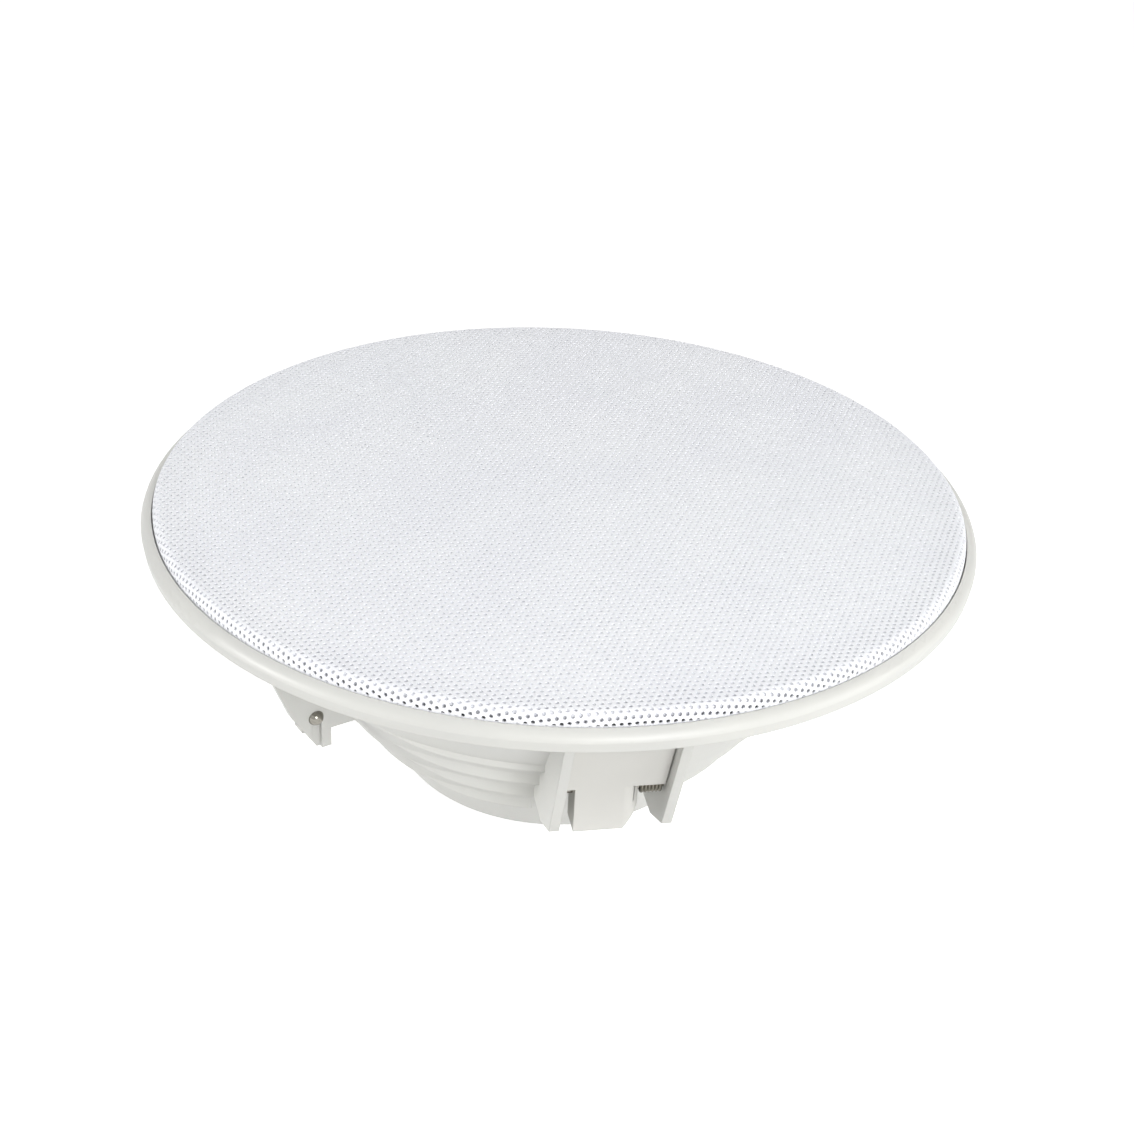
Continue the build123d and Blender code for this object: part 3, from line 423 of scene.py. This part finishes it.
def grille_section(run):
    """Radius and height of the outer face at a run from the centre, and its outward normal."""
    flat = GRILLE_R - GRILLE_ROLL
    arc = GRILLE_ROLL * pi / 2
    if run <= flat:
        share = run / flat
        slope = 2 * GRILLE_DOME * share / flat
        size = hypot(1, slope)
        return run, GRILLE_TOP + GRILLE_DOME * (1 - share * share), slope / size, 1 / size
    if run <= flat + arc:
        angle = (run - flat) / GRILLE_ROLL
        height = GRILLE_TOP - GRILLE_ROLL * (1 - cos(angle))
        return flat + GRILLE_ROLL * sin(angle), height, sin(angle), cos(angle)
    return GRILLE_R, GRILLE_TOP - GRILLE_ROLL - (run - flat - arc), 1, 0


def hole_of(x, y):
    """Centre of the hole whose cell holds a point of the flat lattice."""
    row = round(y / ROW_STEP)
    shift = HOLE_PITCH / 2 if row % 2 else 0
    column = round((x - shift) / HOLE_PITCH)
    return column * HOLE_PITCH + shift, row * ROW_STEP


def copies(bm, step, *factors):
    """Lines up copies of everything in the mesh, a step apart, as many as the factors multiply to."""
    made = 1
    for factor in factors:
        block = bm.verts[:] + bm.edges[:] + bm.faces[:]
        for i in range(1, factor):
            new = bmesh.ops.duplicate(bm, geom=block)["geom"]
            moved = [v for v in new if isinstance(v, bmesh.types.BMVert)]
            bmesh.ops.translate(bm, vec=Vector(step) * made * i, verts=moved)
        made *= factor


def hole_lattice():
    """Flat sheet of six-sided cells, each with one punched hole, wide enough for the whole grille."""
    bm = bmesh.new()
    bmesh.ops.create_circle(bm, cap_ends=True, segments=6, radius=HOLE_PITCH / sqrt(3))
    land = HOLE_PITCH / 2 - HOLE_WIDTH / 2
    bmesh.ops.inset_individual(bm, faces=bm.faces[:], thickness=land, use_even_offset=True)
    hole = min(bm.faces, key=lambda f: f.calc_center_median().length)
    bmesh.ops.delete(bm, geom=[hole], context="FACES_ONLY")
    back = bmesh.ops.extrude_face_region(bm, geom=bm.faces[:], use_keep_orig=True)["geom"]
    bmesh.ops.translate(bm, vec=(0, 0, -SHEET), verts=[v for v in back if isinstance(v, bmesh.types.BMVert)])
    bmesh.ops.recalc_face_normals(bm, faces=bm.faces)
    walls = [f for f in bm.faces if abs(f.normal.z) < 0.5]
    borders = [f for f in walls if f.calc_center_median().xy.length > (HOLE_WIDTH + HOLE_PITCH) / 4]
    bmesh.ops.delete(bm, geom=borders, context="FACES")
    cell = bm.verts[:] + bm.edges[:] + bm.faces[:]
    pair = bmesh.ops.duplicate(bm, geom=cell)["geom"]
    second = [v for v in pair if isinstance(v, bmesh.types.BMVert)]
    bmesh.ops.translate(bm, vec=(HOLE_PITCH / 2, ROW_STEP, 0), verts=second)
    column, row = LATTICE_CORNER
    bmesh.ops.translate(bm, vec=(column * HOLE_PITCH, row * ROW_STEP, 0), verts=bm.verts)
    copies(bm, (HOLE_PITCH, 0, 0), *LATTICE_COLUMNS)
    copies(bm, (0, 2 * ROW_STEP, 0), *LATTICE_ROW_PAIRS)
    return bm


def soften(bm):
    """Shades gentle bends as smooth and keeps the sharp ones."""
    for edge in bm.edges:
        edge.smooth = not edge.is_manifold or edge.calc_face_angle() < 0.5
    for face in bm.faces:
        face.smooth = True


def grille_field(name, lattice, inner, outer):
    """Part of the punched sheet between two runs, pressed to a dome with a rolled edge."""
    bm = lattice.copy()
    strays = []
    for face in bm.faces:
        middle = face.calc_center_median()
        if not inner < hypot(*hole_of(middle.x, middle.y)) <= outer:
            strays.append(face)
    bmesh.ops.delete(bm, geom=strays, context="FACES")
    bmesh.ops.remove_doubles(bm, verts=bm.verts, dist=HOLE_PITCH / 200)
    soften(bm)
    turn = Matrix.Rotation(radians(HOLE_ROWS_TURN), 3, "Z")
    bmesh.ops.rotate(bm, cent=(0, 0, 0), matrix=turn, verts=bm.verts)
    for vert in bm.verts:
        run = hypot(vert.co.x, vert.co.y)
        azimuth = atan2(vert.co.y, vert.co.x)
        radius, height, out, up = grille_section(run)
        radius += out * vert.co.z
        height += up * vert.co.z
        vert.co = (radius * cos(azimuth), radius * sin(azimuth), height)
    return piece_from(bm, name, grille_coat)


def spun(bm, outline, start=0.0, sweep=360.0):
    """Turns a closed outline of radii and heights about the axis, whole or between two azimuths."""
    loop = [bm.verts.new((radius, 0, height)) for radius, height in outline]
    edges = [bm.edges.new((loop[i - 1], loop[i])) for i in range(len(loop))]
    bmesh.ops.rotate(bm, cent=(0, 0, 0), matrix=Matrix.Rotation(radians(start), 3, "Z"), verts=loop)
    if sweep < 360:
        bm.faces.new(loop)
    turned = bmesh.ops.spin(
        bm,
        geom=loop + edges,
        cent=(0, 0, 0),
        axis=(0, 0, 1),
        angle=radians(sweep),
        steps=round(sweep * 192 / 360),
        use_merge=sweep == 360,
    )
    if sweep < 360:
        bm.faces.new([v for v in turned["geom_last"] if isinstance(v, bmesh.types.BMVert)])
    bmesh.ops.remove_doubles(bm, verts=bm.verts, dist=0.001)
    bmesh.ops.recalc_face_normals(bm, faces=bm.faces)
    soften(bm)


def sheet_outline(stations, thickness):
    """Outline of a sheet that follows the grille's section, given runs and drops below its face."""
    face, back = [], []
    for run, drop in stations:
        radius, height, out, up = grille_section(run)
        face.append((radius - out * drop, height - up * drop))
        back.append((radius - out * (drop + thickness), height - up * (drop + thickness)))
    return face + back[::-1]


def grille_pieces():
    """Punched fields, the plain hem below them, and the cloth glued behind, which laps into the roll."""
    lattice = hole_lattice()
    edges = (-1, *FIELD_SPLITS, LAST_ROW)
    names = ("grille_centre_field", "grille_middle_field", "grille_outer_field")
    sheet = [grille_field(names[i], lattice, edges[i], edges[i + 1]) for i in range(len(names))]
    lattice.free()
    roll_start = GRILLE_R - GRILLE_ROLL
    skirt_end = roll_start + GRILLE_ROLL * pi / 2 + GRILLE_TOP - GRILLE_ROLL - SKIRT_LOW
    bm = bmesh.new()
    hem_top = LAST_ROW - HOLE_PITCH / sqrt(3)
    spun(bm, sheet_outline([(hem_top, HEM_INSET), (skirt_end, HEM_INSET)], SHEET - 2 * HEM_INSET))
    sheet.append(piece_from(bm, "grille_hem", grille_coat))
    for piece in sheet:
        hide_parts("grille")
        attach(piece, "root")
    bm = bmesh.new()
    flat = [(0.05 + roll_start * i / 12, CLOTH_DROP) for i in range(12)]
    spun(bm, sheet_outline([*flat, *CLOTH_EDGE], CLOTH_T))
    cloth = piece_from(bm, "grille_backing_cloth", backing_cloth)
    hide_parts("grille_cloth")
    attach(cloth, "root")


grille_pieces()


# Housing and levers


def terrace_lips():
    """Flared lips of the terraces beside the wide brackets, which sink into the wall further round."""
    for number, (_, bracket) in enumerate(WIDE_BRACKETS, 1):
        bm = bmesh.new()
        start = bracket - FLARE_SPAN
        for depth in TERRACE_DEPTHS:
            lip = CONE_TOP_R - CONE_SLOPE * depth + TERRACE_STEP / 2
            end = bracket - degrees(asin(FLARE_END / lip))
            outline = [(lip + out, up - depth) for out, up in FLARE_SECTION]
            outline.append((lip - FLARE_FOOT_T, -depth - TERRACE_FOOT))
            outline.append((outline[0][0] - FLARE_TOP_T, outline[0][1]))
            spun(bm, outline, start, end - start)
        for vert in bm.verts:
            run = degrees(atan2(vert.co.y, vert.co.x)) % 360 - start
            share = min(max(run / FLARE_FADE, 0), 1)
            sink = FLARE_SINK * (1 - share * share * (3 - 2 * share))
            vert.co.xy -= vert.co.xy.normalized() * sink
        piece = piece_from(bm, f"housing_terrace_lips_{number}", housing_abs)
        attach(piece, "root")


def open_levers():
    """The wide levers without the plate in front of the spring."""
    for number, azimuth in WIDE_BRACKETS:
        bm = bmesh.new()
        bm.from_mesh(nodes[f"clamp_lever_{number}"].data)
        bmesh.ops.scale(bm, vec=(1 / MM, 1 / MM, 1 / MM), verts=bm.verts)
        bmesh.ops.remove_doubles(bm, verts=bm.verts, dist=0.001)
        turn = Matrix.Rotation(radians(azimuth), 3, "Z")
        bmesh.ops.rotate(bm, cent=(0, 0, 0), matrix=turn.inverted(), verts=bm.verts)
        plate = []
        for face in bm.faces:
            middle = face.calc_center_median()
            inside = middle.x > PLATE_BACK - NEAR and middle.y > PLATE_LEFT - NEAR
            if inside and PLATE_LOW - NEAR < middle.z < PLATE_TOP - NEAR:
                plate.append(face)
        bmesh.ops.delete(bm, geom=plate, context="FACES")
        bmesh.ops.holes_fill(bm, edges=[e for e in bm.edges if e.is_boundary], sides=0)
        bmesh.ops.recalc_face_normals(bm, faces=bm.faces)
        bmesh.ops.rotate(bm, cent=(0, 0, 0), matrix=turn, verts=bm.verts)
        soften(bm)
        piece = piece_from(bm, f"clamp_lever_open_{number}", lever_abs)
        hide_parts(f"clamp_lever_{number}")
        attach(piece, f"clamp_{number}")


terrace_lips()
open_levers()


# Studio


def lamp(name, spot, size, power):
    """Round soft lamp aimed at the speaker, with places in millimetres."""
    data = bpy.data.lights.new(name, "AREA")
    data.shape = "DISK"
    data.size = size * MM
    data.energy = power
    panel = bpy.data.objects.new(name, data)
    panel.location = Vector(spot) * MM
    panel.rotation_euler = (-Vector(spot)).to_track_quat("-Z", "Y").to_euler()
    bpy.context.scene.collection.objects.link(panel)


def seen_directly(material):
    """One for camera, mirror and see-through rays, nought for the rays that light the object."""
    seen = add(material, "ShaderNodeLightPath")
    mirrored = add(
        material,
        "ShaderNodeMath",
        {0: seen.outputs["Is Camera Ray"], 1: seen.outputs["Is Glossy Ray"]},
        operation="MAXIMUM",
    )
    through = {0: mirrored.outputs[0], 1: seen.outputs["Is Transmission Ray"]}
    return add(material, "ShaderNodeMath", through, operation="MAXIMUM").outputs[0]


def studio():
    """White paper floor, even white surround, and soft lamps above, in front and at both sides."""
    bm = bmesh.new()
    bmesh.ops.create_grid(bm, x_segments=2, y_segments=2, size=FLOOR_HALF)
    bmesh.ops.translate(bm, vec=(0, 0, FLOOR_Z), verts=bm.verts)
    paper = linear("#dedede")
    floor_white, shader = new_material("floor_white_paper", Base_Color=paper, Roughness=0.9)
    glow = {0: seen_directly(floor_white), 1: FLOOR_GLOW}
    glow = add(floor_white, "ShaderNodeMath", glow, operation="MULTIPLY")
    floor_white.node_tree.links.new(glow.outputs[0], shader.inputs["Emission Strength"])
    shader.inputs["Emission Color"].default_value = (1, 1, 1, 1)
    piece_from(bm, "floor", floor_white)

    world = bpy.data.worlds.new("studio")
    bpy.context.scene.world = world
    world.use_nodes = True
    world.node_tree.nodes.clear()
    levels = {"Value": seen_directly(world), "To Min": SURROUND, "To Max": 1.0}
    strength = add(world, "ShaderNodeMapRange", levels).outputs[0]
    white = add(world, "ShaderNodeBackground", {"Color": (1, 1, 1, 1), "Strength": strength})
    add(world, "ShaderNodeOutputWorld", {"Surface": white.outputs[0]})

    lamp("panel_top", (0, 0, 1400), 1400, 3.4)
    lamp("panel_low", (450, -1050, 420), 500, 6.0)
    lamp("panel_high", (450, -900, 800), 600, 3.3)
    lamp("panel_right", (1100, -250, 250), 600, 3.6)
    lamp("window_left", (-1000, -350, 300), 420, 5.0)


studio()
bpy.context.scene.view_settings.view_transform = "Standard"
